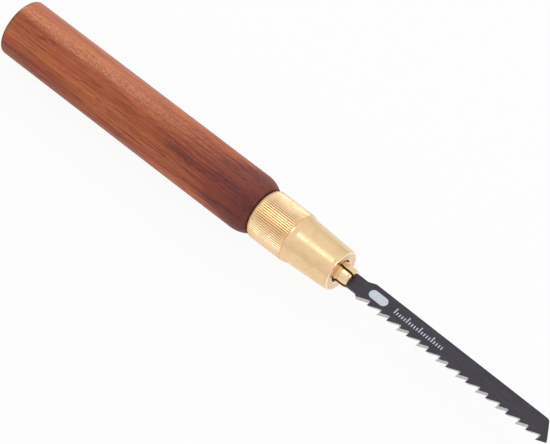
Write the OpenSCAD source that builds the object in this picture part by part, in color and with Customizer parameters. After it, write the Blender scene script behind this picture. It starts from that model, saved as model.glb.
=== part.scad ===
// Small hand saw: a turned wooden handle with a brass four-jaw chuck that holds a T-shank blade.
// The tool's axis is X, with the blade's tip at +X. The blade lies flat in the XY plane, with
// its teeth towards -Y. The origin is on the axis, halfway along the handle.

/* [Handle] */
// Diameter of the turned wooden handle
handle_d = 20; // [18.5:0.5:26]
// Length of the wooden handle
handle_l = 105; // [80:1:140]
// Radius of the rounded edge at the butt
butt_round = 1.5; // [0.5:0.25:4]
// Length of the rounded shoulder before the chuck
shoulder_l = 5.6; // [3:0.2:9]
// Drop of the radius along that shoulder
shoulder_drop = 1.7; // [0.8:0.1:2]

/* [Chuck body] */
// Diameter of the tang that is glued into the handle
tang_d = 8; // [6:0.5:9]
// Length of the tang
tang_l = 26; // [18:1:40]
// Number of glue grooves around the tang
glue_grooves = 4; // [2:1:6]
// Diameter of the flange let into the handle's front face
flange_d = 14.4; // [13.8:0.1:14.6]
// Thickness of the flange
flange_t = 1.5; // [1:0.1:3]
// Outer diameter of the thread for the nut
thread_d = 13; // [12.6:0.1:13.2]
// Length of the thread in front of the handle
thread_l = 13.6; // [10:0.2:14]
// Pitch of the thread
thread_pitch = 1; // [0.75:0.25:1.5]
// Diameter of the plain spigot in front of the thread
spigot_d = 11.6; // [11.2:0.1:11.8]
// Diameter of the bore that guides the collet
guide_d = 8.6; // [8.4:0.1:9]
// Length of the cone in the mouth of the bore
cone_l = 6; // [4:0.5:8]
// Growth of the radius along that cone
cone_rise = 1; // [0.8:0.05:1.1]

/* [Collet] */
// Length of the ring that joins the four jaws
ring_l = 6; // [4:0.5:6.5]
// Distance from the wood's front face to the ring
ring_at = 8; // [4:0.5:8]
// Diameter of the thin part of the jaws in front of the ring
stem_d = 7.8; // [7.2:0.1:8]
// Length of the plain land between the jaws' cone and their shoulder
land_l = 2; // [1:0.25:3]
// Diameter of the jaws where they pass through the nut's mouth
jaw_neck_d = 7.4; // [7:0.1:7.5]
// Diameter of the jaws' noses
nose_d = 6.8; // [6.4:0.1:7.2]
// Distance that the noses stand out of the nut
nose_out = 4.7; // [3:0.1:7]
// Radius of the rounded end of the noses
nose_round = 1.4; // [0.4:0.1:1.6]
// Diameter of the hole along the middle of the collet
centre_hole_d = 2.4; // [1.5:0.1:3]
// Width of the slit that crosses the blade's slit
cross_slit_w = 0.8; // [0.6:0.05:1.4]

/* [Nut] */
// Length of the nut
nut_l = 32.3; // [30:0.1:36]
// Gap between the wood and the tightened nut
nut_gap = 0.4; // [0.2:0.1:1]
// Diameter over the knurled band
knurl_d = 17.25; // [16.8:0.05:18.4]
// Depth of the straight knurling
knurl_depth = 0.32; // [0.15:0.01:0.5]
// Number of ridges round the band
knurl_count = 72; // [48:2:96]
// Length of the plain collar behind the knurling
collar_l = 1; // [0.6:0.1:2]
// Length from the rear face to the front end of the knurling
band_l = 14.6; // [10:0.1:16]
// Length of the cone from the band down to the nose
step_l = 2.4; // [1:0.1:3.5]
// Diameter of the nose just in front of that cone
nose_back_d = 15.95; // [15.2:0.05:16.4]
// Diameter of the nose at its front bevel
nose_front_d = 14.6; // [13.6:0.05:15]
// Length of the bevel at the front
bevel_l = 1.5; // [0.5:0.1:2.5]
// Drop of the radius along that bevel
bevel_drop = 0.16; // [0.05:0.01:0.5]
// Diameter of the hole that the jaws stand out of
mouth_d = 8.1; // [8.05:0.05:8.6]
// Thickness of the wall around the mouth
mouth_l = 3.7; // [2.5:0.1:5]

/* [Blade] */
// Length of the blade from its tail to its tip
blade_l = 100.3; // [70:0.1:130]
// Thickness of the blade
blade_t = 1.25; // [0.9:0.05:1.3]
// Distance from the shank's centre line to the back edge
back_reach = 3.85; // [3.3:0.05:4.5]
// Distance from the shank's centre line to the tips of the teeth
tooth_reach = 3.85; // [3.2:0.05:4.5]
// Width of the shank between the lugs and the toothed part
shank_w = 5.5; // [5:0.1:6.2]
// Width over the two lugs of the shank
lug_w = 7.8; // [7:0.1:7.8]
// Width of the tail behind the lugs
tail_w = 4.6; // [3.5:0.1:5]
// Distance from the tail's end to the lugs
lug_at = 3; // [2:0.1:4]
// Length of the lugs
lug_l = 2.6; // [1.5:0.1:3.5]
// Distance from the tail's end to the full back edge
back_at = 26.3; // [25:0.1:32]
// Distance from the tail's end to the corner of the heel
heel_at = 24.8; // [24:0.1:26]
// Distance from the tail's end to the first tip
first_tip_at = 29.1; // [28.8:0.1:34]
// Distance from tip to tip
tooth_pitch = 4; // [3:0.1:5]
// Depth of the gullets
gullet_depth = 1.85; // [1.4:0.05:2.2]
// Radius of the gullets
gullet_r = 0.45; // [0.3:0.05:0.65]
// Lean of the cutting face of a tooth towards the blade's tip
rake_angle = 2; // [0:1:8]
// Angle at which the gullets are ground across the blade, in turn to each side
grind_angle = 32; // [0:2:36]
// Shortest distance from the last tip to the blade's end
end_land = 1.5; // [1:0.1:3]
// Slant of the blade's end above the gullets, measured along the blade
end_slant = 4; // [1:0.1:6]
// Radius of the corner at the back of the blade's end
end_round = 1; // [0.4:0.1:2]
// Lean of the clamped blade away from the tool's axis
blade_lean = 0.7; // [0:0.1:1]

/* [Hidden] */
$fn = 96;
// Overrun of every cut past the face that it opens
cut = 1;
// Straight pieces in a turned or filed round, and in half a gullet
arc_steps = 10;
gullet_steps = 4;

// Radial gap of the tang in its hole, which holds the glue
glue_gap = 0.05;
// Space for spare glue past the tang's end
glue_pocket = 1.5;
// Width and depth of a glue groove
glue_groove_w = 1.6;
glue_groove_depth = 0.5;
// Plain lengths of the tang before the first groove and after the last
tang_lead = 4;
// Bevel at the tang's end
tang_bevel = 0.8;
// Radial gap around the flange
flange_gap = 0.1;
// Depth of the thread's grooves and half the width of its crests, as shares of the pitch
thread_depth_share = 0.55;
half_crest_share = 0.125;
thread_depth = thread_depth_share * thread_pitch;
// Plain length between the flange and the first groove
thread_start = 1;
// Space left behind the collet's ring
ring_room = 1;
// Running gap of the collet in its bore
collet_gap = 0.05;
// Radial gap between the jaws' cone and the bore's cone
cone_gap = 0.1;
// Running gap between the thread's crests and the nut
thread_gap = 0.05;
// Plain length in the nut past the end of the thread
thread_room = 0.4;
// Radial gap between the spigot and the nut's bore
spigot_gap = 0.1;
// Bevel at the spigot's end
spigot_bevel = 0.2;
// Length of the jaws' neck in front of the nut
neck_out = 0.7;
// Gap on each side of the blade in the slits
slit_gap = 0.05;
// Depth of the star's inner corners under the floor of the knurling's grooves
floor_gap = 0.06;
// Drop of the radius from the knurling's grooves to the rear edge
collar_drop = 0.35;
// Bevel around the nut's mouth and around its rear bore
mouth_bevel = 0.3;
// Distance between the tail's end and the back of the slits
tail_gap = 3.7;
// Length of the slope from the shank up to the back edge
back_slope_l = 2.4;
// Length of the slope from the shank down to the heel
heel_slope_l = 1.5;
// Bevel at the tail's end and at the lugs
tail_bevel = 0.8;
lug_bevel = 0.4;

// Stations along the axis
face_x = handle_l / 2;
butt_x = -handle_l / 2;
nut_back_x = face_x + nut_gap;
nut_front_x = nut_back_x + nut_l;
thrust_x = nut_front_x - mouth_l;
spigot_end_x = thrust_x - land_l;
thread_end_x = face_x + thread_l;
ring_x = face_x + ring_at;
jaw_root_x = ring_x + ring_l;
cone_start_x = spigot_end_x - cone_l;
nose_end_x = nut_front_x + nose_out;
tail_x = jaw_root_x + tail_gap;

// Radii and widths that follow from fits
hole_r = tang_d / 2 + glue_gap;
ring_r = guide_d / 2 - collet_gap;
cone_small_r = guide_d / 2 - cone_gap;
cone_large_r = cone_small_r + cone_rise;
nut_thread_r = thread_d / 2 + thread_gap;
nut_bore_r = spigot_d / 2 + spigot_gap;
slit_w = blade_t + 2 * slit_gap;
knurl_r = knurl_d / 2;
knurl_floor_r = knurl_r - knurl_depth;
knurl_low_r = knurl_floor_r - floor_gap;

// Teeth
end_tip_room = blade_l - first_tip_at - end_land;
tooth_count = floor(end_tip_room / tooth_pitch) + 1;
root_y = gullet_depth - tooth_reach;
// Length of the cutting face down to the gullet
face_l = (gullet_depth - gullet_r * (1 + sin(rake_angle))) / cos(rake_angle);
// Place of a gullet's middle from its tip, on the side of the blade where the tip is
gullet_shift = face_l * sin(rake_angle) - gullet_r * cos(rake_angle);
// Shift of a gullet from one side of the blade to the other
grind_shift = blade_t * tan(grind_angle);
// Way from a tip to the next gullet's middle, on that side, and the angle of the edge between
relief_run = [tooth_pitch + grind_shift + gullet_shift, gullet_depth - gullet_r];
relief_angle = atan2(relief_run[1], relief_run[0]) + asin(gullet_r / norm(relief_run));
// Length of the grinding cuts, enough to pass right through the blade
grind_l = blade_t + 3 * tooth_pitch;

// Points [radius, station] of an arc, from one angle to another
function arc(r, centre, from, to, steps) =
    [for (i = [0 : steps]) let (a = from + (to - from) * i / steps)
        [centre[0] + r * cos(a), centre[1] + r * sin(a)]];

// A solid turned about the X axis, from points [radius, station]
module turned(points) {
    rotate([0, 90, 0]) rotate_extrude() polygon(points);
}

// A plain bore or bar along the axis
module bar(r, from, to) {
    translate([from, 0, 0]) rotate([0, 90, 0]) cylinder(r = r, h = to - from);
}

// The handle's rounded shoulder is an arc that starts in line with the cylinder
shoulder_r = (shoulder_l ^ 2 + shoulder_drop ^ 2) / (2 * shoulder_drop);

module handle() {
    color([0.62, 0.34, 0.24]) difference() {
        turned(concat(
            [[0, butt_x]],
            arc(butt_round, [handle_d / 2 - butt_round, butt_x + butt_round], -90, 0, arc_steps),
            arc(shoulder_r, [handle_d / 2 - shoulder_r, face_x - shoulder_l],
                0, asin(shoulder_l / shoulder_r), arc_steps),
            [[0, face_x]]));
        bar(hole_r, face_x - flange_t - tang_l - glue_pocket, face_x + cut);
        bar(flange_d / 2 + flange_gap, face_x - flange_t, face_x + cut);
    }
}

// Grooves that hold the glue, spaced evenly between two plain lengths
module glue_groove(i) {
    span = tang_l - 2 * tang_lead - glue_groove_w;
    start = face_x - flange_t - tang_l + tang_lead + i * span / (glue_grooves - 1);
    difference() {
        bar(tang_d / 2 + cut, start, start + glue_groove_w);
        bar(tang_d / 2 - glue_groove_depth, start - cut, start + glue_groove_w + cut);
    }
}

// Outline of the thread: a ring groove with a flat floor for each turn
function thread_outline() =
    let (r = thread_d / 2, low = r - thread_depth, start = face_x + thread_start)
    let (turns = floor((thread_l - thread_start) / thread_pitch))
    let (crest = half_crest_share * thread_pitch, floor_half = 2 * crest)
    [for (i = [0 : turns - 1]) let (middle = start + (i + 0.5) * thread_pitch) each [
        [r, middle - thread_pitch / 2 + crest], [low, middle - floor_half / 2],
        [low, middle + floor_half / 2], [r, middle + thread_pitch / 2 - crest]]];

module chuck_body() {
    tang_x = face_x - flange_t - tang_l;
    color([0.84, 0.68, 0.42]) difference() {
        turned(concat(
            [[0, tang_x], [tang_d / 2 - tang_bevel, tang_x], [tang_d / 2, tang_x + tang_bevel],
                [tang_d / 2, face_x - flange_t], [flange_d / 2, face_x - flange_t],
                [flange_d / 2, face_x], [thread_d / 2, face_x]],
            thread_outline(),
            [[thread_d / 2 - thread_depth, thread_end_x], [spigot_d / 2, thread_end_x],
                [spigot_d / 2, spigot_end_x - spigot_bevel],
                [spigot_d / 2 - spigot_bevel, spigot_end_x], [0, spigot_end_x]]));
        for (i = [0 : glue_grooves - 1]) glue_groove(i);
        bar(guide_d / 2, ring_x - ring_room, spigot_end_x + cut);
        turned([[0, cone_start_x], [guide_d / 2, cone_start_x],
            [guide_d / 2 + cone_rise, spigot_end_x],
            [guide_d / 2 + cone_rise * (1 + cut / cone_l), spigot_end_x + cut],
            [0, spigot_end_x + cut]]);
    }
}

module collet_ring() {
    color([0.82, 0.65, 0.39]) difference() {
        bar(ring_r, ring_x, jaw_root_x);
        bar(centre_hole_d / 2, ring_x - cut, jaw_root_x + cut);
    }
}

// One quarter of the slit end of the collet, between the slit planes
module jaw(quarter) {
    reach = cone_large_r + cut;
    gaps = quarter % 2 == 0 ? [cross_slit_w, slit_w] : [slit_w, cross_slit_w];
    color([0.87, 0.72, 0.47]) rotate([90 * quarter, 0, 0]) intersection() {
        difference() {
            turned(concat(
                [[0, jaw_root_x], [stem_d / 2, jaw_root_x], [stem_d / 2, cone_start_x],
                    [cone_small_r, cone_start_x], [cone_large_r, spigot_end_x],
                    [cone_large_r, thrust_x], [jaw_neck_d / 2, thrust_x],
                    [jaw_neck_d / 2, nut_front_x + neck_out], [nose_d / 2, nut_front_x + neck_out]],
                arc(nose_round, [nose_d / 2 - nose_round, nose_end_x - nose_round],
                    0, 90, arc_steps),
                [[0, nose_end_x]]));
            bar(centre_hole_d / 2, jaw_root_x - cut, nose_end_x + cut);
        }
        translate([jaw_root_x, gaps[0] / 2, gaps[1] / 2])
            cube([nose_end_x - jaw_root_x, reach, reach]);
    }
}

// Straight knurling: a star with one ridge for each step round the band
module knurling() {
    ridge_angle = 360 / knurl_count;
    translate([nut_back_x + collar_l, 0, 0]) rotate([0, 90, 0])
        linear_extrude(height = band_l - collar_l)
            polygon([for (i = [0 : knurl_count - 1]) each [
                knurl_r * [cos(i * ridge_angle), sin(i * ridge_angle)],
                knurl_low_r * [cos((i + 0.5) * ridge_angle), sin((i + 0.5) * ridge_angle)]]]);
}

module chuck_nut() {
    band_end_x = nut_back_x + band_l;
    color([0.90, 0.76, 0.52]) difference() {
        union() {
            knurling();
            turned([[0, nut_back_x], [knurl_floor_r - collar_drop, nut_back_x],
                [knurl_floor_r, nut_back_x + collar_l], [knurl_floor_r, band_end_x],
                [nose_back_d / 2, band_end_x + step_l],
                [nose_front_d / 2, nut_front_x - bevel_l],
                [nose_front_d / 2 - bevel_drop, nut_front_x], [0, nut_front_x]]);
        }
        bar(nut_thread_r, nut_back_x - cut, thread_end_x + thread_room);
        bar(nut_bore_r, nut_back_x - cut, thrust_x);
        bar(mouth_d / 2, nut_back_x - cut, nut_front_x + cut);
        turned([[0, nut_front_x - mouth_bevel], [mouth_d / 2, nut_front_x - mouth_bevel],
            [mouth_d / 2 + mouth_bevel + cut, nut_front_x + cut], [0, nut_front_x + cut]]);
        turned([[0, nut_back_x - cut], [nut_thread_r + mouth_bevel + cut, nut_back_x - cut],
            [nut_thread_r, nut_back_x + mouth_bevel], [0, nut_back_x + mouth_bevel]]);
    }
}

// The blade's end slants from the gullets' height back to the back edge
end_rise = back_reach - root_y;
end_normal = atan2(end_slant, end_rise);
end_corner = [blade_l - end_slant - end_round * (1 - sin(end_normal)) / cos(end_normal),
    back_reach - end_round];

// Station of a gullet's middle, halfway through the blade
function gullet_at(i) = first_tip_at + i * tooth_pitch + gullet_shift + grind_shift / 2;

// Outline of the blade before its gullets are ground, with the shank's centre line on the X axis
function blade_outline() =
    let (neck = shank_w / 2, lug = lug_w / 2, tail = tail_w / 2, foot = tooth_reach + cut)
    let (heel_back = heel_at - heel_slope_l, lug_end = lug_at + lug_l)
    let (heel_foot = heel_at + cut * heel_slope_l / (tooth_reach - neck))
    concat(
        [[0, -tail + tail_bevel], [tail_bevel, -tail], [lug_at, -tail],
            [lug_at, -lug + lug_bevel], [lug_at + lug_bevel, -lug], [lug_end, -lug],
            [lug_end, -neck], [heel_back, -neck], [heel_foot, -foot],
            [blade_l, -foot], [blade_l, root_y]],
        arc(end_round, end_corner, end_normal, 90, arc_steps),
        [[back_at, back_reach], [back_at - back_slope_l, neck], [lug_end, neck],
            [lug_end, lug], [lug_at + lug_bevel, lug], [lug_at, lug - lug_bevel],
            [lug_at, tail], [tail_bevel, tail], [0, tail - tail_bevel]]);

// Outline of a grinding cut, from a gullet's middle on the root line: the edge behind the tip
// before it, the round, and the cutting face after it. The last cut clears all that follows.
function gullet_outline(last) =
    let (foot = gullet_depth + 2 * cut, clear = tooth_pitch + end_land)
    let (relief_foot = gullet_r * sin(relief_angle)
        + (foot - gullet_r * (1 - cos(relief_angle))) / tan(relief_angle))
    let (face_foot = gullet_r * cos(rake_angle)
        - (foot - gullet_r * (1 + sin(rake_angle))) * tan(rake_angle))
    concat(
        [[-relief_foot, -foot]],
        arc(gullet_r, [0, -gullet_r], 90 + relief_angle, last ? 90 : -rake_angle, 2 * gullet_steps),
        last ? [[clear, 0], [clear, -foot]] : [[face_foot, -foot]]);

// A gullet, ground by a wheel that crosses the blade at the grinding angle. Tips are left on one
// side of the blade and the other in turn.
module gullet(i) {
    lean = i % 2 == 1 ? grind_angle : -grind_angle;
    translate([gullet_at(i), root_y, 0]) rotate([0, lean, 0])
        linear_extrude(height = grind_l, center = true)
            polygon([for (p = gullet_outline(i == tooth_count)) [p[0] * cos(grind_angle), p[1]]]);
}

module blade() {
    pivot = lug_at + lug_l / 2;
    color([0.29, 0.28, 0.32])
        translate([tail_x + pivot, 0, 0]) rotate([0, 0, -blade_lean]) translate([-pivot, 0, 0])
            difference() {
                linear_extrude(height = blade_t, center = true) polygon(blade_outline());
                for (i = [0 : tooth_count]) gullet(i);
            }
}

handle();
chuck_body();
collet_ring();
jaw(0);  // jaw_top_back
jaw(1);  // jaw_top_front
jaw(2);  // jaw_bottom_front
jaw(3);  // jaw_bottom_back
chuck_nut();
blade();
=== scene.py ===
import math
import bmesh
import bpy
from mathutils import Matrix, Vector


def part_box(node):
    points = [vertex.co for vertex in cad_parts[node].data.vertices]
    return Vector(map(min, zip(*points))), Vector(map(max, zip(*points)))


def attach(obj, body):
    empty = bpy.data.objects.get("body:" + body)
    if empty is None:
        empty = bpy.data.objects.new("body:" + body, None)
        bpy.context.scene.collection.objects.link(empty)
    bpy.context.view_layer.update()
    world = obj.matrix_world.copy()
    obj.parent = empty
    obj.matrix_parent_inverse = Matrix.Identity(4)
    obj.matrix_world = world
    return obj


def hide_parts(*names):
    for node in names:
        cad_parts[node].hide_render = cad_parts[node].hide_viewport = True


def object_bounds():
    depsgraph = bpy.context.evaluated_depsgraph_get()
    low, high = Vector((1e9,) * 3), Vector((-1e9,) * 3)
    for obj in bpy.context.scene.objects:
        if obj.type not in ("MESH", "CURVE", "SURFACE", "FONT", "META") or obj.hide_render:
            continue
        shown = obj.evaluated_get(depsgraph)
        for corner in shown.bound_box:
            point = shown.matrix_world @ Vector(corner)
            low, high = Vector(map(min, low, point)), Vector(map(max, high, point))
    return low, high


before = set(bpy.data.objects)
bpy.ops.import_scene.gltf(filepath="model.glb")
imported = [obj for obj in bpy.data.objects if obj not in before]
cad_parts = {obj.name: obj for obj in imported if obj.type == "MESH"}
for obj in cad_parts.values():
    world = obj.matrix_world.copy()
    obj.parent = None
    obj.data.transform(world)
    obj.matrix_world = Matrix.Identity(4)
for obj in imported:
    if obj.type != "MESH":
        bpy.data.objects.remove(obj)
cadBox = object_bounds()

mm = 0.001        # settings are in millimetres, Blender works in metres
weldGap = 0.002   # points closer than this are one point


def paint(red, green, blue):  # a colour as a picture shows it, 0 to 255, for Blender's linear sockets
    shares = [channel / 255 for channel in (red, green, blue)]
    return [v / 12.92 if v <= 0.04045 else ((v + 0.055) / 1.055) ** 2.4 for v in shares] + [1]


def edgeOf(node, side, axis):  # a side of a CAD node's box in millimetres: side 0 is low, 1 is high
    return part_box(node)[side][axis] / mm


# Modelling tools: every piece starts from a primitive and is shaped in edit mode

def roundCorners(corners, steps=4):  # corners are (along, out, rounding)
    outline = []
    for i, (along, out, rounding) in enumerate(corners):
        corner = Vector((along, out))
        if not rounding:
            outline.append(corner)
            continue
        ways = [Vector(corners[j][:2]) - corner for j in (i - 1, (i + 1) % len(corners))]
        start, end = [corner + way.normalized() * min(rounding, way.length / 2) for way in ways]
        for k in range(steps + 1):
            t = k / steps
            outline.append(start.lerp(corner, t).lerp(corner.lerp(end, t), t))
    return outline


def arcPoints(centre, radius, fromAngle, toAngle, steps):  # (along, out, 0) points, angles in degrees
    angles = [math.radians(fromAngle + (toAngle - fromAngle) * k / steps) for k in range(steps + 1)]
    return [(centre[0] + radius * math.cos(a), centre[1] + radius * math.sin(a), 0) for a in angles]


def weld():  # joins points that lie together, and leaves the whole mesh selected
    bpy.ops.mesh.select_all(action="SELECT")
    bpy.ops.mesh.remove_doubles(threshold=weldGap * mm)


def drawLine(name, points, closed):  # one vertex, extruded from point to point
    bpy.ops.object.select_all(action="DESELECT")
    bpy.ops.mesh.primitive_plane_add(size=mm, location=(0, 0, 0))
    piece = bpy.context.object
    piece.name = piece.data.name = name
    bpy.ops.object.mode_set(mode="EDIT")
    bpy.ops.mesh.merge(type="CENTER")
    bpy.ops.transform.translate(value=points[0] * mm)
    for here, there in zip(points, points[1:] + points[:closed]):
        bpy.ops.mesh.extrude_vertices_move(TRANSFORM_OT_translate={"value": (there - here) * mm})
    weld()
    return piece


def pickObject(piece):
    bpy.ops.object.select_all(action="DESELECT")
    piece.select_set(True)
    bpy.context.view_layer.objects.active = piece


def pickVertices(piece, wanted):  # selects the vertices whose place in millimetres passes the test
    bpy.ops.mesh.select_mode(type="VERT")
    bpy.ops.mesh.select_all(action="DESELECT")
    mesh = bmesh.from_edit_mesh(piece.data)
    for vertex in mesh.verts:
        vertex.select_set(wanted(vertex.co / mm))
    mesh.select_flush(True)
    bmesh.update_edit_mesh(piece.data)


def closeMesh(smoothAngle):  # welds the seams, turns the faces outwards and leaves edit mode
    weld()
    bpy.ops.mesh.normals_make_consistent(inside=False)
    bpy.ops.object.mode_set(mode="OBJECT")
    bpy.ops.object.shade_smooth_by_angle(angle=math.radians(smoothAngle))


def turnOnLathe(name, outline, steps, hollow):  # a line of (station, radius) spun about the X axis
    points = [Vector((station, 0, radius)) for station, radius in outline]
    piece = drawLine(name, points, closed=hollow)
    bpy.ops.mesh.spin(steps=steps, angle=math.tau, center=(0, 0, 0), axis=(1, 0, 0))
    return piece


def bevelEdges(piece, width, angle, segments):
    bevel = piece.modifiers.new("edges", "BEVEL")
    bevel.width = width * mm
    bevel.segments = segments
    bevel.limit_method = "ANGLE"
    bevel.angle_limit = math.radians(angle)
    bpy.context.view_layer.objects.active = piece
    bpy.ops.object.modifier_apply(modifier=bevel.name)


def finishPiece(piece, node, body, slot, *materials):
    for material in materials:
        piece.data.materials.append(material)
    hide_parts(node)
    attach(piece, body)


# Material tools

def feed(tree, node, inputs):  # links each input that comes from a socket, and sets the others
    for socket, value in inputs.items():
        if isinstance(value, bpy.types.NodeSocket):
            tree.links.new(value, node.inputs[socket])
        else:
            node.inputs[socket].default_value = value


def addNode(tree, kind, inputs=None, **options):
    made = tree.nodes.new("ShaderNode" + kind)
    for option, value in options.items():
        setattr(made, option, value)
    feed(tree, made, inputs or {})
    return made


def calc(tree, operation, *values, clamp=False):
    made = addNode(tree, "Math", dict(enumerate(values)), operation=operation, use_clamp=clamp)
    return made.outputs[0]


def ease(tree, value, low, high, toLow=0.0, toHigh=1.0):  # a smooth step from low to high
    inputs = dict(enumerate((value, low, high, toLow, toHigh)))
    return addNode(tree, "MapRange", inputs, interpolation_type="SMOOTHSTEP").outputs[0]


def nudge(tree, value, noise, reach):  # moves a value by half of reach to either side
    return calc(tree, "MULTIPLY_ADD", calc(tree, "SUBTRACT", noise, 0.5), reach, value)


def mixVector(tree, operation, first, second):
    made = addNode(tree, "VectorMath", {0: first, 1: second}, operation=operation)
    return made.outputs["Value" if operation == "DOT_PRODUCT" else "Vector"]


def scaleVector(tree, vector, factor):
    return addNode(tree, "VectorMath", {0: vector, "Scale": factor}, operation="SCALE").outputs[0]


def layColour(tree, under, over, mask, share=1.0):  # as much of the upper colour as the mask's share
    inputs = {0: calc(tree, "MULTIPLY", mask, share), 6: under, 7: over}
    return addNode(tree, "Mix", inputs, data_type="RGBA").outputs[2]


def addBump(tree, height, strength, depth):  # depth in millimetres
    inputs = {"Strength": strength, "Distance": depth * mm, "Height": height}
    return addNode(tree, "Bump", inputs).outputs[0]


def stretchedNoise(tree, place, scales, detail=2.0, roughness=0.5, distortion=0.0):
    inputs = {"Vector": mixVector(tree, "MULTIPLY", place, scales), "Scale": 1.0, "Detail": detail,
              "Roughness": roughness, "Distortion": distortion}
    return addNode(tree, "TexNoise", inputs).outputs["Fac"]


def newGroup(name, inputs, outputs):  # both give each socket's kind
    tree = bpy.data.node_groups.new(name, "ShaderNodeTree")
    for way, sockets in (("INPUT", inputs), ("OUTPUT", outputs)):
        for socket, kind in sockets.items():
            tree.interface.new_socket(name=socket, in_out=way, socket_type="NodeSocket" + kind)
    return tree, tree.nodes.new("NodeGroupInput").outputs, tree.nodes.new("NodeGroupOutput").inputs


def useGroup(tree, group, inputs):
    return addNode(tree, "Group", inputs, node_tree=group).outputs


def clearTree(holder):  # a material or a world
    holder.use_nodes = True
    holder.node_tree.nodes.clear()
    return holder.node_tree


def newMaterial(name):  # gives the material, its tree and the place on the piece in millimetres
    material = bpy.data.materials.new(name)
    tree = clearTree(material)
    place = addNode(tree, "TexCoord").outputs["Object"]
    return material, tree, mixVector(tree, "MULTIPLY", place, (1 / mm,) * 3)


def addShader(tree, inputs):
    addNode(tree, "OutputMaterial", {0: addNode(tree, "BsdfPrincipled", inputs).outputs[0]})


# Node groups that several finishes share

sharedNoise = {                # scales along the three axes, detail, roughness and distortion
    "fine rings": ((1, 1, 1), 3, 0.6),
    "broad rings": ((0.12, 0.12, 0.5), 1),
    "patches": ((1, 1, 1), 4, 0.62, 0.6),
}
patchEdge = (0.42, 0.68)       # values of that noise between which a patch begins


def makeAxisGroup():  # distance from the tool's axis, station along it and direction round it
    tree, given, result = newGroup("aroundAxis", {"Place": "Vector"},
                                   {"Radius": "Float", "Station": "Float", "Direction": "Vector"})
    across = mixVector(tree, "MULTIPLY", given["Place"], (0, 1, 1))
    station = addNode(tree, "SeparateXYZ", {0: given["Place"]}).outputs[0]
    length = addNode(tree, "VectorMath", {0: across}, operation="LENGTH").outputs["Value"]
    direction = addNode(tree, "VectorMath", {0: across}, operation="NORMALIZE").outputs[0]
    tree.links.new(length, result["Radius"])
    tree.links.new(station, result["Station"])
    tree.links.new(direction, result["Direction"])
    return tree


def makeTurningGroup(axisGroup):  # the fine rings that a lathe tool leaves
    tree, given, result = newGroup(
        "turningMarks", {"Place": "Vector", "Rings per mm": "Float", "Wander": "Float"},
        {"Height": "Float", "Sheen": "Float"})
    around = useGroup(tree, axisGroup, {"Place": given["Place"]})
    along = calc(tree, "MULTIPLY", around["Station"], given["Rings per mm"])
    out = calc(tree, "MULTIPLY", around["Radius"], given["Rings per mm"])
    swirl = scaleVector(tree, around["Direction"], given["Wander"])
    rings = addNode(tree, "CombineXYZ", {0: along, 1: out}).outputs[0]
    mixed = mixVector(tree, "ADD", rings, swirl)
    tree.links.new(stretchedNoise(tree, mixed, *sharedNoise["fine rings"]), result["Height"])
    tree.links.new(stretchedNoise(tree, mixed, *sharedNoise["broad rings"]), result["Sheen"])
    return tree


def makeHandlingGroup():  # smears and dull patches that fingers leave
    tree, given, result = newGroup(
        "handlingMarks", {"Place": "Vector", "Patch per mm": "Float"}, {"Mask": "Float"})
    scaled = scaleVector(tree, given["Place"], given["Patch per mm"])
    patches = stretchedNoise(tree, scaled, *sharedNoise["patches"])
    tree.links.new(ease(tree, patches, *patchEdge), result["Mask"])
    return tree


def makeBandGroup():  # a soft band across a value, such as wear at a rim or dirt in a groove
    tree, given, result = newGroup(
        "softBand", {"Value": "Float", "Middle": "Float", "Half width": "Float"}, {"Mask": "Float"})
    offset = calc(tree, "ABSOLUTE", calc(tree, "SUBTRACT", given["Value"], given["Middle"]))
    share = calc(tree, "DIVIDE", offset, given["Half width"])
    tree.links.new(ease(tree, share, 1.0, 0.0), result["Mask"])
    return tree


axisGroup = makeAxisGroup()
turningGroup = makeTurningGroup(axisGroup)
handlingGroup = makeHandlingGroup()
bandGroup = makeBandGroup()
print("node groups made")


# Camera, at the place from which the photograph was taken

cameraSettings = {
    "azimuth": 42.53,              # degrees from the teeth's side towards the tip
    "elevation": 56.57,
    "distance": 1150,              # from the middle of the wood's front face
    "pixelsPerMm": 3.224,          # at that face
    "facePixel": (262.9, 211.5),   # where its middle lies in the picture
    "picture": (550, 444),
    "sensor": 36,                  # width
}


def makeCamera():
    s = cameraSettings
    azimuth, elevation = math.radians(s["azimuth"]), math.radians(s["elevation"])
    back = Vector((math.sin(azimuth) * math.cos(elevation), -math.cos(azimuth) * math.cos(elevation),
                   math.sin(elevation)))
    right = Vector((math.cos(azimuth), math.sin(azimuth), 0))
    up = back.cross(right)
    offset = [(s["picture"][i] / 2 - s["facePixel"][i]) / s["pixelsPerMm"] for i in (0, 1)]
    aim = Vector((edgeOf("handle", 1, 0), 0, 0)) + right * offset[0] - up * offset[1]
    data = bpy.data.cameras.new("camera")
    data.sensor_width = s["sensor"]
    data.lens = s["pixelsPerMm"] * s["distance"] * s["sensor"] / s["picture"][0]
    camera = bpy.data.objects.new("camera", data)
    bpy.context.scene.collection.objects.link(camera)
    turned = Matrix((right, up, back)).transposed().to_4x4()
    camera.matrix_world = Matrix.Translation((aim + back * s["distance"]) * mm) @ turned
    bpy.context.scene.camera = camera


# Floor, sky and lamps

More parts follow.
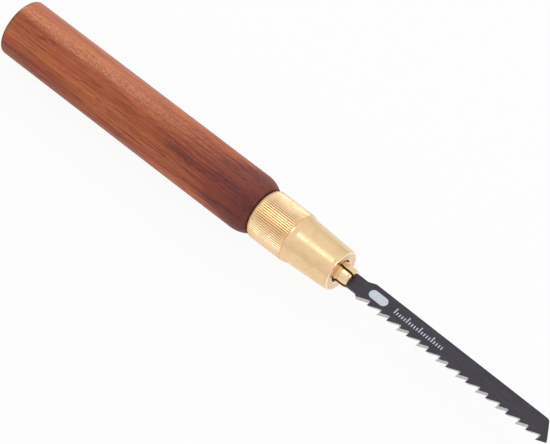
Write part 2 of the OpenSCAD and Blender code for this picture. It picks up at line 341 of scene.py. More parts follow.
studioSettings = {
    "floorSize": 4000,
    "floorColour": paint(236, 236, 236),
    "floorWhite": 0.93,        # share of plain white that the camera sees over the floor's shadow
    "worldForLight": 0.62,     # strength for the light that falls on the object
    "mirrored": (0.80, 0.98),  # strengths that metal mirrors low and overhead
    "mirrorHeights": (-0.1, 0.9),    # how far a ray points up where that change begins and ends
}
lampSettings = {               # direction from the object, watts and whether metal mirrors the lamp
    "overhead": {"toward": (-0.37, -0.15, 0.92), "distance": 900, "size": (300, 230), "power": 0.55,
                 "mirrored": True},
    "backWindow": {"toward": (-0.30, 0.72, 0.62), "distance": 1100, "size": (900, 700), "power": 4.4,
                   "mirrored": False},
    "frontFill": {"toward": (0.75, -0.60, 0.45), "distance": 1200, "size": (500, 500), "power": 0.9,
                  "mirrored": False},
    "tipStrip": {"toward": (0.91, 0.05, 0.38), "distance": 1100, "size": (420, 260), "power": 0.8,
                 "mirrored": True},
}


def seenDirectly(tree):  # 1 for the camera's own rays and for mirrored and refracted ones
    rays = addNode(tree, "LightPath").outputs
    seen = calc(tree, "MAXIMUM", rays["Is Camera Ray"], rays["Is Glossy Ray"])
    return calc(tree, "MAXIMUM", seen, rays["Is Transmission Ray"])


def makeFloor():
    s = studioSettings
    bpy.ops.object.select_all(action="DESELECT")
    lowest = Vector((0, 0, cadBox[0].z))
    bpy.ops.mesh.primitive_plane_add(size=s["floorSize"] * mm, location=lowest)
    floor = bpy.context.object
    floor.name = "floor"
    material = bpy.data.materials.new("paleFloor")
    tree = clearTree(material)
    paper = addNode(tree, "BsdfDiffuse", {"Color": s["floorColour"]})
    white = addNode(tree, "Emission", {"Color": (1, 1, 1, 1), "Strength": 1.0})
    share = calc(tree, "MULTIPLY", seenDirectly(tree), s["floorWhite"])
    mixed = addNode(tree, "MixShader", {0: share, 1: paper.outputs[0], 2: white.outputs[0]})
    addNode(tree, "OutputMaterial", {0: mixed.outputs[0]})
    floor.data.materials.append(material)


def makeWorld():
    s = studioSettings
    world = bpy.data.worlds.new("studio")
    bpy.context.scene.world = world
    tree = clearTree(world)
    skyward = addNode(tree, "TexCoord").outputs["Generated"]
    upward = addNode(tree, "SeparateXYZ", {0: skyward}).outputs[2]
    mirrored = ease(tree, upward, *s["mirrorHeights"], *s["mirrored"])
    rays = addNode(tree, "LightPath").outputs
    shown = calc(tree, "MAXIMUM", rays["Is Camera Ray"], rays["Is Transmission Ray"])
    unseen = {0: rays["Is Glossy Ray"], 2: s["worldForLight"], 3: mirrored}
    lit = addNode(tree, "Mix", unseen).outputs[0]
    strength = addNode(tree, "Mix", {0: shown, 2: lit, 3: 1.0}).outputs[0]
    sky = addNode(tree, "Background", {"Color": (1, 1, 1, 1), "Strength": strength}).outputs[0]
    addNode(tree, "OutputWorld", {0: sky})


def makeLamps():
    for name, s in lampSettings.items():
        data = bpy.data.lights.new(name, "AREA")
        data.shape = "RECTANGLE"
        data.size, data.size_y = [side * mm for side in s["size"]]
        data.energy = s["power"]
        lamp = bpy.data.objects.new(name, data)
        lamp.visible_glossy = s["mirrored"]
        bpy.context.scene.collection.objects.link(lamp)
        toward = Vector(s["toward"]).normalized()
        middle = (cadBox[0] + cadBox[1]) / 2
        turned = toward.to_track_quat("Z", "Y").to_matrix().to_4x4()
        lamp.matrix_world = Matrix.Translation(middle + toward * s["distance"] * mm) @ turned


makeCamera()
makeFloor()
makeWorld()
makeLamps()
bpy.context.scene.view_settings.view_transform = "Standard"
print("studio made")


# Handle: reddish hardwood, turned and oiled

handleSettings = {
    "buttRound": 0.9,
    "shoulder": (5.6, 1.7),       # length and drop of the round before the nut
    "faceRound": 0.25,
    "flangeHole": (7.3, 1.5),     # radius and depth
    "tangHole": (4.05, 29),
    "steps": 144,                 # faces round the axis
}
woodSettings = {
    "light": paint(204, 118, 78),
    "middle": paint(180, 95, 64),
    "dark": paint(148, 76, 56),
    "toneStops": (0.28, 0.5, 0.72),
    "gold": paint(200, 122, 74),
    "goldShare": 0.55,
    "seam": paint(112, 54, 54),   # long dark lines between the fibres
    "seamShare": 0.75,
    "pore": paint(70, 34, 28),
    "poreShare": 0.5,
    "lean": (0, 1.0, -1.5),       # degrees by which the grain runs off the axis
    "sway": (0, 3, 3),            # how far the fibres wander
    "fibreReach": 0.6,            # how far the fibres and the flecks move the tone
    "fleckReach": 0.45,
    "roughness": (0.38, 0.54),
    "shimmer": (0.95, 1.06),
    "specular": 0.14,
    "ripplesRise": 0.5,           # height of the ripple as a share of the pores' depth
    "bump": (0.35, 0.06),         # strength and depth
}
heartSettings = {                 # dark wood that runs in from the front
    "colour": paint(132, 68, 58),
    "vein": paint(88, 48, 52),
    "side": (0, -0.45, 0.89),
    "spread": 70.0,               # how much further back it reaches on that side
    "from": (70.0, 112.0),
    "share": 0.88,
    "end": (32.0, 52.0, 0.0, 55.0),    # stations over which it comes to reach all round, and how far
    "driftReach": 40.0,                # lengths by which slow and fine noise move its edge
    "fringeReach": 110.0,
    "veinTones": (0.62, 0.40),         # tones of the grain between which it turns to vein
    "shoulder": (41.0, 49.0, 0.0, 0.6),     # stations over which it darkens to the vein colour towards the shoulder, and the share
}
paintedLightSettings = {                  # painted highlight: a paler, flecked stripe along the lit side, and a broad painted sheen beyond it
    "colour": paint(222, 152, 118),
    "side": (0, 0.158, 0.987),
    "reach": (0.935, 1.0),             # how nearly the surface faces that side at its edge and middle
    "raggedReach": 0.09,
    "mottle": (0.36, 0.66),            # values of the ripple between which a fleck begins
    "shares": (0.24, 0.66),            # of the pale colour between the flecks and in them
    "broadSheenSide": (0, 0.50, 0.866),
    "broadSheenReach": (0.86, 0.99),
    "broadSheenShare": 0.26,
    "end": (-5.0, 36.0, 1.0, 0.15),    # stations over which both fade
    "endGrain": (6.0, 9.6),            # radii over which they fade on the butt's end grain
    "shadedButtRim": (1.3, 0.55),          # how far the butt's rounded rim is darkened with painted shade, and how much
}
woodNoise = {                     # scales along the three axes, detail and roughness
    "wander": ((0.012, 0.05, 0.05), 1),
    "broad": ((0.010, 0.22, 0.22),),
    "fibres": ((0.030, 1.5, 1.5), 3, 0.6),
    "flecks": ((0.35, 3.2, 3.2), 2, 0.6),
    "gold": ((0.014, 0.55, 0.55),),
    "seams": ((0.022, 1.0, 1.0), 2, 0.45),
    "pores": ((0.14, 2.8, 2.8),),
    "ripple": ((0.8, 3.4, 3.4), 2, 0.6),
    "drift": ((0.02, 0.10, 0.10),),
    "fringe": ((0.030, 0.8, 0.8), 3, 0.6),
}
woodEdges = {                     # values between which a noise becomes gold, a seam or a pore
    "gold": (0.56, 0.68),
    "seams": (0.035, 0.0),
    "pores": (0.62, 0.74),
}


def makeWoodGroup():
    s = woodSettings
    tree, given, result = newGroup(
        "woodGrain", {"Place": "Vector"},
        {"Tone": "Float", "Gold": "Float", "Seams": "Float", "Pores": "Float", "Ripple": "Float"})
    lean = [math.radians(angle) for angle in s["lean"]]
    turned = addNode(tree, "Mapping", {"Vector": given["Place"], "Rotation": lean}).outputs[0]
    wander = stretchedNoise(tree, turned, *woodNoise["wander"])
    fibreWay = mixVector(tree, "ADD", turned, scaleVector(tree, s["sway"], wander))
    broad, fibres, flecks, gold, seams = [stretchedNoise(tree, fibreWay, *woodNoise[name])
                                          for name in ("broad", "fibres", "flecks", "gold", "seams")]
    pores, ripple = [stretchedNoise(tree, turned, *woodNoise[name]) for name in ("pores", "ripple")]
    tone = nudge(tree, nudge(tree, broad, fibres, s["fibreReach"]), flecks, s["fleckReach"])
    seamLine = calc(tree, "ABSOLUTE", calc(tree, "SUBTRACT", seams, 0.5))
    tree.links.new(tone, result["Tone"])
    tree.links.new(ease(tree, gold, *woodEdges["gold"]), result["Gold"])
    tree.links.new(ease(tree, seamLine, *woodEdges["seams"]), result["Seams"])
    tree.links.new(ease(tree, pores, *woodEdges["pores"]), result["Pores"])
    tree.links.new(ripple, result["Ripple"])
    return tree


def towardSide(tree, around, side):  # 1 where the surface lies on that side of the axis, -1 opposite
    return mixVector(tree, "DOT_PRODUCT", around["Direction"], side)


def layHeart(tree, colour, grain, around, drift, fringe):
    s = heartSettings
    station = around["Station"]
    reached = calc(tree, "MULTIPLY_ADD", towardSide(tree, around, s["side"]), s["spread"], station)
    reached = calc(tree, "ADD", reached, ease(tree, station, *s["end"]))
    reached = nudge(tree, reached, drift, s["driftReach"])
    reached = nudge(tree, reached, fringe, s["fringeReach"])
    # vein colour in the darker grain, and more of it towards the shoulder
    veinsAndDarkShoulder = calc(tree, "MAXIMUM", ease(tree, grain["Tone"], *s["veinTones"]),
                 ease(tree, station, *s["shoulder"]))
    darkWood = layColour(tree, s["colour"], s["vein"], veinsAndDarkShoulder)
    return layColour(tree, colour, darkWood, ease(tree, reached, *s["from"], 0.0, s["share"]))


# painted highlight: lightens the wood where its surface faces the lit side, in flecks, with a broad
# painted sheen beyond it
def layPaintedSheen(tree, colour, around, fringe, mottle):
    s = paintedLightSettings
    ragged = nudge(tree, towardSide(tree, around, s["side"]), fringe, s["raggedReach"])
    flecked = ease(tree, mottle, 0.0, 1.0, *s["shares"])
    pale = calc(tree, "MULTIPLY", ease(tree, ragged, *s["reach"]), flecked)
    broadSheen = ease(tree, towardSide(tree, around, s["broadSheenSide"]), *s["broadSheenReach"], 0.0, s["broadSheenShare"])
    fading = calc(tree, "MULTIPLY", ease(tree, around["Station"], *s["end"]),
                  ease(tree, around["Radius"], *s["endGrain"]))
    return layColour(tree, colour, s["colour"], calc(tree, "MAXIMUM", pale, broadSheen), fading)


def makeWood():
    s = woodSettings
    material, tree, place = newMaterial("oiledHardwood")
    grain = useGroup(tree, makeWoodGroup(), {"Place": place})
    around = useGroup(tree, axisGroup, {"Place": place})
    drift, fringe = [stretchedNoise(tree, place, *woodNoise[name]) for name in ("drift", "fringe")]
    shade = addNode(tree, "ValToRGB", {0: grain["Tone"]})
    ramp = shade.color_ramp
    low, middle, high = s["toneStops"]
    ramp.elements[0].position, ramp.elements[1].position = low, high
    ramp.elements[0].color, ramp.elements[1].color = s["dark"], s["light"]
    ramp.elements.new(middle).color = s["middle"]
    colour = layColour(tree, shade.outputs[0], s["gold"], grain["Gold"], s["goldShare"])
    colour = layColour(tree, colour, s["seam"], grain["Seams"], s["seamShare"])
    colour = layHeart(tree, colour, grain, around, drift, fringe)
    colour = layColour(tree, colour, s["pore"], grain["Pores"], s["poreShare"])
    # painted shade on the butt's rounded rim, strongest at its outer edge and none in the end grain's
    # middle
    rimLength, rimShare = paintedLightSettings["shadedButtRim"]
    atRim = useGroup(tree, bandGroup, {"Value": around["Station"], "Middle": edgeOf("handle", 0, 0),
                                       "Half width": rimLength})["Mask"]
    onSide = ease(tree, around["Radius"], *paintedLightSettings["endGrain"], 0.0, rimShare)
    colour = layColour(tree, colour, s["pore"], atRim, onSide)
    mottle = ease(tree, grain["Ripple"], *paintedLightSettings["mottle"])
    # painted highlight and sheen along the handle's lit side
    colour = layPaintedSheen(tree, colour, around, fringe, mottle)
    lit = scaleVector(tree, colour, ease(tree, mottle, 0.0, 1.0, *s["shimmer"]))
    raised = calc(tree, "MULTIPLY", grain["Ripple"], s["ripplesRise"])
    relief = calc(tree, "SUBTRACT", raised, grain["Pores"])
    addShader(tree, {"Specular IOR Level": s["specular"], "Base Color": lit,
                     "Roughness": ease(tree, mottle, 0.0, 1.0, *s["roughness"]),
                     "Normal": addBump(tree, relief, *s["bump"])})
    return material


def makeHandle():
    s = handleSettings
    butt, face, radius = edgeOf("handle", 0, 0), edgeOf("handle", 1, 0), edgeOf("handle", 1, 2)
    length, drop = s["shoulder"]
    curve = (length ** 2 + drop ** 2) / (2 * drop)
    bend = math.degrees(math.asin(length / curve))
    shoulder = arcPoints((face - length, radius - curve), curve, 90, 90 - bend, 12)
    (flange, flangeDepth), (tang, tangDepth) = s["flangeHole"], s["tangHole"]
    corners = [(butt, 0, 0), (butt, radius, s["buttRound"])] + shoulder[:-1]
    corners += [(face, radius - drop, s["faceRound"]), (face, flange, 0), (face - flangeDepth, flange, 0),
                (face - flangeDepth, tang, 0), (face - tangDepth, tang, 0), (face - tangDepth, 0, 0)]
    piece = turnOnLathe("woodenHandle", roundCorners(corners, steps=6), s["steps"], hollow=False)
    closeMesh(smoothAngle=35)
    finishPiece(piece, "handle", "handle", "wood", makeWood())


makeHandle()
print("handle made")


# Brass: pale, turned, with dull patches from handling, grime and painted shade in the knurl's grooves,
# painted shade round the nut's mouth and painted highlights on its rims

brassSettings = {
    "pale": paint(240, 207, 162),
    "warm": paint(226, 186, 134),
    "warmShare": 0.45,
    "crest": paint(247, 216, 173),
    # painted highlight colour for the nut's rims
    "rimHighlight": paint(255, 246, 226),
    "rimHighlightShare": 0.7,
    # colour of grime and painted shade in grooves and round the mouth, and of oil in the slits
    "grimeAndShade": paint(146, 96, 50),
    "grimeAndShadeShare": 0.8,
    # painted shade: a duller, pinker copy of the pale brass for the nut's front face
    "face": paint(232, 203, 172),
    "turning": {"Rings per mm": 7.0, "Wander": 1.2},
    "handling": {"Patch per mm": 0.22},
    "bandEdge": 4.0,              # how sharply the grime and painted shade end along the axis
    "sheenReach": 0.16,           # how far the turning marks move the roughness
    "bump": (0.16, 0.02),         # strength and depth
}
innerRough = (0.24, 0.40)         # roughness of clean and handled brass inside the chuck


def makeBrass(name, rough, pale="pale", grimeAndShadeRadius=None, grimeAndShadeFrom=None, crest=None, rims=()):
    s = brassSettings
    material, tree, place = newMaterial(name)
    around = useGroup(tree, axisGroup, {"Place": place})
    marks = useGroup(tree, turningGroup, {"Place": place, **s["turning"]})
    dull = useGroup(tree, handlingGroup, {"Place": place, **s["handling"]})["Mask"]

    def alongBand(middle, half):
        return useGroup(tree, bandGroup, {"Value": around["Station"], "Middle": middle,
                                          "Half width": half})["Mask"]

    colour = layColour(tree, s[pale], s["warm"], dull, s["warmShare"])
    if grimeAndShadeRadius:
        start, end = grimeAndShadeFrom
        deep = ease(tree, around["Radius"], *grimeAndShadeRadius, 1.0, 0.0)
        inBand = calc(tree, "MULTIPLY", alongBand((start + end) / 2, (end - start) / 2), s["bandEdge"],
                      clamp=True)
        if crest:
            colour = layColour(tree, colour, s[crest], calc(tree, "SUBTRACT", 1.0, deep), inBand)
        # grime and painted shade: darker colour low within the given radii, inside the given stretch of
        # stations
        grimeAndShade = calc(tree, "MULTIPLY", deep, inBand)
        colour = layColour(tree, colour, s["grimeAndShade"], grimeAndShade, s["grimeAndShadeShare"])
    # painted highlight along each given rim
    for station, half in rims:
        colour = layColour(tree, colour, s["rimHighlight"], alongBand(station, half), s["rimHighlightShare"])
    sheen = nudge(tree, ease(tree, dull, 0.0, 1.0, *rough), marks["Sheen"], s["sheenReach"])
    addShader(tree, {"Metallic": 1.0, "Base Color": colour, "Roughness": sheen,
                     "Normal": addBump(tree, marks["Height"], *s["bump"])})
    return material


sawnSettings = {
    "colour": paint(190, 128, 58),
    "oilShare": 0.5,
    "patchPerMm": 0.6,
    "lines": ((5.0, 0.6, 0.6), 2, 0.6),         # scales, detail and roughness of the saw's marks
    "roughness": (0.3, 0.7, 0.42, 0.60),        # from those marks' values to the roughness
    "metallic": 0.45,
    "bump": (0.3, 0.02),
}


def makeSawnBrass():  # dull, oily faces inside a slit
    s = sawnSettings
    material, tree, place = newMaterial("sawnBrass")
    lines = stretchedNoise(tree, place, *s["lines"])
    oil = useGroup(tree, handlingGroup, {"Place": place, "Patch per mm": s["patchPerMm"]})["Mask"]
    colour = layColour(tree, s["colour"], brassSettings["grimeAndShade"], oil, s["oilShare"])
    addShader(tree, {"Metallic": s["metallic"], "Base Color": colour,
                     "Roughness": ease(tree, lines, *s["roughness"]),
                     "Normal": addBump(tree, lines, *s["bump"])})
    return material


# Nut: a straight-knurled band, a step and a long tapered nose

nutSettings = {
    "collar": (1.0, 0.35),        # length and drop of the plain rim at the back
    "knurlDepth": 0.32,
    "ridges": 72,
    "ridgeShape": (1.0, 0.92, 0.25, 0.0, 0.25, 0.92),   # shares of the depth across one ridge
    "runOut": 0.12,               # where a ridge's end slopes down
    "frontLand": 0.6,             # plain stretch between the ridges and the step
    "landDrop": 0.14,             # by which it lies lower than the ridges
    "grimeAndShadeShare": 0.5,             # share of a groove's depth that holds grime and painted shade
    "shadedMouth": (0.6, 0.5),     # how far painted shade spreads round the mouth, and how deep into it
    "highlightedRims": ((0, 0.4), (0.1, 0.3)),    # painted highlights on the front and back rims: distance from the end and half width
    "roughness": (0.20, 0.32),    # of clean and handled brass
    "faceRoughness": (0.30, 0.42),
    "band": 14.9,                 # length of the collar, the ridges and the plain stretch
    "step": 1.2,                  # length of the slope from there down to the nose
    "noseRadii": (8.02, 7.3, 7.14),    # after the step, before the bevel and at the front
    "bevel": 1.5,
    "mouth": (4.05, 3.7),         # radius and thickness of the wall that the jaws pass through
    "mouthBevel": 0.3,
    "bore": 5.9,
    "thread": (6.55, 13.6),       # radius and length
}


def makeNut():
    s = nutSettings
    back, front, crest = edgeOf("chuck_nut", 0, 0), edgeOf("chuck_nut", 1, 0), edgeOf("chuck_nut", 1, 2)
    floor = crest - s["knurlDepth"]
    collar, collarDrop = s["collar"]
    band, land = back + s["band"], crest - s["landDrop"]
    noseStart, noseEnd, frontEdge = s["noseRadii"]
    mouth, wall = s["mouth"]
    thread, threadLength = s["thread"]
    bevel = s["mouthBevel"]
    ridgesEnd = band - s["frontLand"]
    ridgeFrom, ridgeTo = back + collar + s["runOut"], ridgesEnd - s["runOut"]
    corners = [
        (back, thread + bevel, 0), (back, floor - collarDrop, 0.15), (back + collar, floor, 0),
        (ridgeFrom, floor, 0), (ridgeTo, floor, 0), (ridgesEnd, floor, 0), (ridgesEnd, land, 0.05),
        (band, land, 0.2), (band + s["step"], noseStart, 0.5), (front - s["bevel"], noseEnd, 0.15),
        (front, frontEdge, 0.6), (front, mouth + bevel, 0.1), (front - bevel, mouth, 0.1),
        (front - wall, mouth, 0), (front - wall, s["bore"], 0), (back + threadLength, s["bore"], 0),
        (back + threadLength, thread, 0), (back + bevel, thread, 0)]
    shape = s["ridgeShape"]
    columns = s["ridges"] * len(shape)
    piece = turnOnLathe("knurledNut", roundCorners(corners), columns, hollow=True)
    weld()

    def onBand(place, column):  # a vertex of the band that stands in this column of its ridge
        offFloor = abs(place.yz.length - floor) > weldGap
        if offFloor or not ridgeFrom - weldGap < place.x < ridgeTo + weldGap:
            return False
        turn = math.atan2(place.y, place.z) / math.tau * columns
        return int(math.floor(turn + 0.5)) % len(shape) == column

    for column, share in enumerate(shape):
        pickVertices(piece, lambda place: onBand(place, column))
        grow = (floor + share * s["knurlDepth"]) / floor
        bpy.ops.transform.resize(value=(1, grow, grow), center_override=(0, 0, 0))
    closeMesh(smoothAngle=32)
    grooved = floor + s["grimeAndShadeShare"] * s["knurlDepth"]
    # painted highlights on the nut's front and back rims
    (inFront, frontHalf), (inBack, backHalf) = s["highlightedRims"]
    # grime and painted shade low in the knurl's grooves
    brass = makeBrass("paleBrass", s["roughness"], grimeAndShadeRadius=(floor, grooved),
                      grimeAndShadeFrom=(back + collar, ridgesEnd), crest="crest",
                      rims=((front - inFront, frontHalf), (back + inBack, backHalf)))
    # painted shade round the nut's mouth on its front face
    spread, deep = s["shadedMouth"]
    # the front face takes the painted-shade copy of the brass
    face = makeBrass("shadedFaceBrass", s["faceRoughness"], "face", grimeAndShadeRadius=(mouth, mouth + spread),
                     grimeAndShadeFrom=(front - deep, front + deep))
    finishPiece(piece, "chuck_nut", "nut", "brass_outer", brass, face)
    for polygon in piece.data.polygons:
        if polygon.center.x > (front - weldGap) * mm:
            polygon.material_index = 1


makeNut()
print("nut made")


# Chuck body: tang with glue grooves, flange, thread and spigot with the collet's bore

bodySettings = {
    "tang": (4.0, 26, 0.8),       # radius, length and end bevel
    "grooves": (4, 1.6, 0.5),     # count, width and depth
    "lead": 4,
    "flange": (7.2, 1.5),
    "thread": (6.5, 13.6, 1.0, 0.55),   # radius, length, pitch and depth
    "threadStart": 1.0,
    "threadShape": ((-0.40, 0), (-0.12, 1), (0.12, 1), (0.40, 0)),    # shares of the pitch and depth
    "spigot": 5.8,
    "bore": 4.3,
    "ringRoom": 1,
    "cone": (6, 1),               # length and growth of the radius
    "steps": 96,
}


def makeChuckBody():
    s = bodySettings
    tail, end, face = edgeOf("chuck_body", 0, 0), edgeOf("chuck_body", 1, 0), edgeOf("handle", 1, 0)
    tang, tangLength, tangBevel = s["tang"]
    count, width, depth = s["grooves"]
    flange, flangeLength = s["flange"]
    thread, threadLength, pitch, threadDepth = s["thread"]
    cone, rise = s["cone"]
    boreEnd = edgeOf("collet_ring", 0, 0) - s["ringRoom"]
    corners = [(tail, 0, 0), (tail, tang, tangBevel)]
    for i in range(count):
        start = tail + s["lead"] + i * (tangLength - 2 * s["lead"] - width) / (count - 1)
        corners += [(start, tang, 0), (start, tang - depth, 0), (start + width, tang - depth, 0),
                    (start + width, tang, 0)]
    corners += [(face - flangeLength, tang, 0), (face - flangeLength, flange, 0.1), (face, flange, 0.15),
                (face, thread, 0)]
    for i in range(int((threadLength - s["threadStart"]) / pitch)):
        middle = face + s["threadStart"] + (i + 0.5) * pitch
        corners += [(middle + pitch * across, thread - threadDepth * deep, 0)
                    for across, deep in s["threadShape"]]
    corners += [(face + threadLength, thread - threadDepth, 0), (face + threadLength, s["spigot"], 0),
                (end, s["spigot"], 0.2), (end, s["bore"] + rise, 0.1), (end - cone, s["bore"], 0),
                (boreEnd, s["bore"], 0), (boreEnd, 0, 0)]
    piece = turnOnLathe("chuckBody", roundCorners(corners, steps=3), s["steps"], hollow=False)
    closeMesh(smoothAngle=32)
    finishPiece(piece, "chuck_body", "handle", "brass_inner", makeBrass("bodyBrass", innerRough))


# Collet: a ring and the four jaws that grow out of it

colletSettings = {
    "hole": 1.2,
    "ringBevel": 0.25,
    "stem": (3.9, 7),             # radius and length of the thin part
    "cone": (4.2, 5.2, 6),        # radii and length
    "land": 1.96,                 # just short of the nut's wall, so that the jaws can open
    "neck": 3.7,
    "neckOut": 0.7,               # how far the neck reaches out of the nut
    "nose": 3.4,
    "noseRound": 1.4,
    "crossSlit": 0.4,             # half the gap between the jaws at the back and those in front
    "bladeSlit": 0.675,           # half the gap that holds the blade
    "steps": 96,
    "sawnFrom": (0.999, 1.0),     # least that a sawn face's normal points sideways, and least area
    "roughness": (0.26, 0.40),    # of clean and handled brass
}
jawPlaces = {"jaw_top_back": (1, 1), "jaw_top_front": (-1, 1),      # sides of the axis along Y and Z
             "jaw_bottom_front": (-1, -1), "jaw_bottom_back": (1, -1)}


def makeColletRing():
    s = colletSettings
    back, front, radius = [edgeOf("collet_ring", side, axis) for side, axis in ((0, 0), (1, 0), (1, 2))]
    corners = [(back, s["hole"], 0.1), (back, radius, s["ringBevel"]), (front, radius, 0.05),
               (front, s["hole"], 0)]
    piece = turnOnLathe("colletRing", roundCorners(corners, steps=3), s["steps"], hollow=True)
    closeMesh(smoothAngle=32)
    finishPiece(piece, "collet_ring", "collet", "brass_inner", makeBrass("ringBrass", innerRough))


def makeJaws():
    s = colletSettings
    firstNode = "jaw_top_back"
    root, end, nutFront = edgeOf(firstNode, 0, 0), edgeOf(firstNode, 1, 0), edgeOf("chuck_nut", 1, 0)
    stem, stemLength = s["stem"]
    coneBack, coneFront, coneLength = s["cone"]
    coneStart, coneEnd = root + stemLength, root + stemLength + coneLength
    corners = [(root, s["hole"], 0), (root, stem, 0), (coneStart, stem, 0), (coneStart, coneBack, 0.1),
               (coneEnd, coneFront, 0.2), (coneEnd + s["land"], coneFront, 0.2),
               (coneEnd + s["land"], s["neck"], 0), (nutFront + s["neckOut"], s["neck"], 0.12),
               (nutFront + s["neckOut"], s["nose"], 0), (end, s["nose"], s["noseRound"]),
               (end, s["hole"], 0.15)]
    first = turnOnLathe("jaw", roundCorners(corners, steps=5), s["steps"], hollow=True)
    weld()
    for middle, side in (((0, s["crossSlit"], 0), (0, 1, 0)), ((0, 0, s["bladeSlit"]), (0, 0, 1))):
        bpy.ops.mesh.select_all(action="SELECT")
        bpy.ops.mesh.bisect(plane_co=Vector(middle) * mm, plane_no=side, use_fill=True, clear_inner=True,
                            threshold=weldGap * mm)
    closeMesh(smoothAngle=32)
    brass = makeBrass("jawBrass", s["roughness"], "crest")
    sawn = makeSawnBrass()
    slope, area = s["sawnFrom"]
    flatFaces = [face.index for face in first.data.polygons
                 if max(abs(face.normal.y), abs(face.normal.z)) > slope and face.area > area * mm ** 2]
    jaws = {firstNode: first}
    for node in list(jawPlaces)[1:]:
        pickObject(first)
        bpy.ops.object.duplicate()
        jaws[node] = bpy.context.object
    for node, jaw in jaws.items():
        jaw.name = jaw.data.name = node.replace("_", ".")
        pickObject(jaw)
        bpy.ops.object.mode_set(mode="EDIT")
        bpy.ops.mesh.select_all(action="SELECT")
        bpy.ops.transform.resize(value=(1, *jawPlaces[node]), center_override=(0, 0, 0))
        bpy.ops.mesh.normals_make_consistent(inside=False)
        bpy.ops.object.mode_set(mode="OBJECT")
        finishPiece(jaw, node, node, "brass_inner", brass, sawn)
        for face in flatFaces:
            jaw.data.polygons[face].material_index = 1


makeChuckBody()
makeColletRing()
makeJaws()
print("chuck body and collet made")


# Blade: a stamped T shank and obliquely ground teeth

bladeSettings = {
    "length": 100.3,
    "thickness": 1.25,
    "tailGap": 3.7,               # from the collet's ring to the tail
    "back": 3.85,                 # from the middle line to the back
    "teeth": 3.85,                # and to the tips
    "shank": 5.5,
    "lugs": (7.8, 3, 2.6),        # width, distance from the tail and length
    "tail": (4.6, 0.8),           # width and bevel
    "backFrom": (26.3, 2.4),      # where the back is full, and its slope
    "heel": (24.8, 1.5),          # place and slope
    "firstTip": 29.1,
    "pitch": 4,
    "gullet": (1.85, 0.45),       # depth and radius
    "rake": 2,
    "grind": 32,                  # angle at which the wheel crosses the blade, to each side in turn
    "endLand": 1.5,
    "endSlant": 4,
    "endRound": 1.0,
    "coatedEnd": 2.0,             # length of the end whose edges aren't ground bright
    "lean": 0.7,
    "edge": 0.05,                 # rounding of all edges
    "bright": (0.8, 0.75),        # most that a ground face's normal points up, and forward
}
coatSettings = {
    "coat": paint(58, 53, 62),
    "worn": paint(92, 88, 96),
    "wornFrom": ((0.45, 0.8), (0.35, 0.7)),     # values of the brushed and the cloudy noise
    "dust": (0.6, 0.8, 0.0, 0.25),
    "roughness": (0.30, 0.25),             # least, and what the brushed noise adds
    "metallic": (0.35, 0.0),               # of the coat and of the print
    "bump": (0.2, 0.02),
    "print": paint(206, 214, 224),
    "printWear": (0.70, 0.55, 0.55, 1.0),
    "printEdge": 0.06,                     # half the width over which the print ends
    "barAt": (26.6, 33.6, 0.55, 1.55),     # plain bar: from, to, height of its middle, half its width
    "ticksAt": (36.6, 20, 1.0),            # plain ticks: from the tail, count and pitch
    "tickSize": (0.36, 1.1, 2.1, -0.3),    # width, height, every fifth one's height and foot
}
coatNoise = {                     # scales along the three axes, detail, roughness and distortion
    "brushed": ((0.16, 4.5, 4.5), 3, 0.65),
    "cloudy": ((0.10, 0.22, 0.22), 3, 0.6, 0.4),
    "dust": ((3.0, 3.0, 3.0), 2, 0.7),
}
steelSettings = {
    "light": paint(206, 204, 204),
    "dark": paint(120, 116, 116),
    "lines": ((6.0, 6.0, 0.6), 2, 0.6),    # scales, detail and roughness of the wheel's marks
    "darkLines": (0.35, 0.7, 0.0, 0.5),
    "roughness": (0.3, 0.7, 0.28, 0.42),   # from those marks' values to the roughness
    "gulletShadeFrom": (0.7, 0.1),                # distances from the gullets' floor over which painted shade darkens it
    "gulletShadeShare": 0.5,
    "bump": (0.3, 0.02),
}


def placeOnBlade(tree, place, pivot):  # along from the tail, out from the middle line and up
    lean = math.radians(bladeSettings["lean"])
    straight = addNode(tree, "VectorRotate", {"Vector": place, "Center": pivot, "Angle": lean},
                       rotation_type="Z_AXIS").outputs[0]
    tail = (edgeOf("collet_ring", 1, 0) + bladeSettings["tailGap"], 0, 0)
    return addNode(tree, "SeparateXYZ", {0: mixVector(tree, "SUBTRACT", straight, tail)}).outputs


def distanceFrom(tree, value, middle):
    return calc(tree, "ABSOLUTE", calc(tree, "SUBTRACT", value, middle))


def barMask(tree, along, out):  # 1 on the plain bar with round ends
    start, stop, height, half = coatSettings["barAt"]
    soft = coatSettings["printEdge"]
    reach = (stop - start) / 2 - half
    ahead = calc(tree, "SUBTRACT", distanceFrom(tree, along, (start + stop) / 2), reach)
    ahead = calc(tree, "MAXIMUM", ahead, 0.0)
    aside = distanceFrom(tree, out, height)
    away = calc(tree, "SQRT", calc(tree, "ADD", calc(tree, "POWER", ahead, 2.0),
                                   calc(tree, "POWER", aside, 2.0)))
    return ease(tree, away, half + soft, half - soft)


def tickMask(tree, along, out):  # 1 on the plain ticks, of which every fifth is taller
    first, count, pitch = coatSettings["ticksAt"]
    width, short, tall, foot = coatSettings["tickSize"]
    soft = coatSettings["printEdge"]
    steps = calc(tree, "DIVIDE", calc(tree, "SUBTRACT", along, first), pitch)
    number = calc(tree, "FLOOR", steps)
    offset = distanceFrom(tree, calc(tree, "FRACT", steps), 0.5)
    line = ease(tree, offset, (width / 2 + soft) / pitch, (width / 2 - soft) / pitch)
    fifth = calc(tree, "LESS_THAN", calc(tree, "MODULO", number, 5.0), 0.5)
    top = calc(tree, "MULTIPLY_ADD", fifth, tall - short, foot + short)
    under = ease(tree, calc(tree, "SUBTRACT", out, top), soft, -soft)
    over = ease(tree, out, foot - soft, foot + soft)
    within = calc(tree, "MULTIPLY", calc(tree, "GREATER_THAN", number, -0.5),
                  calc(tree, "LESS_THAN", number, count - 0.5))
    upright = calc(tree, "MULTIPLY", line, within)
    return calc(tree, "MULTIPLY", upright, calc(tree, "MULTIPLY", under, over))


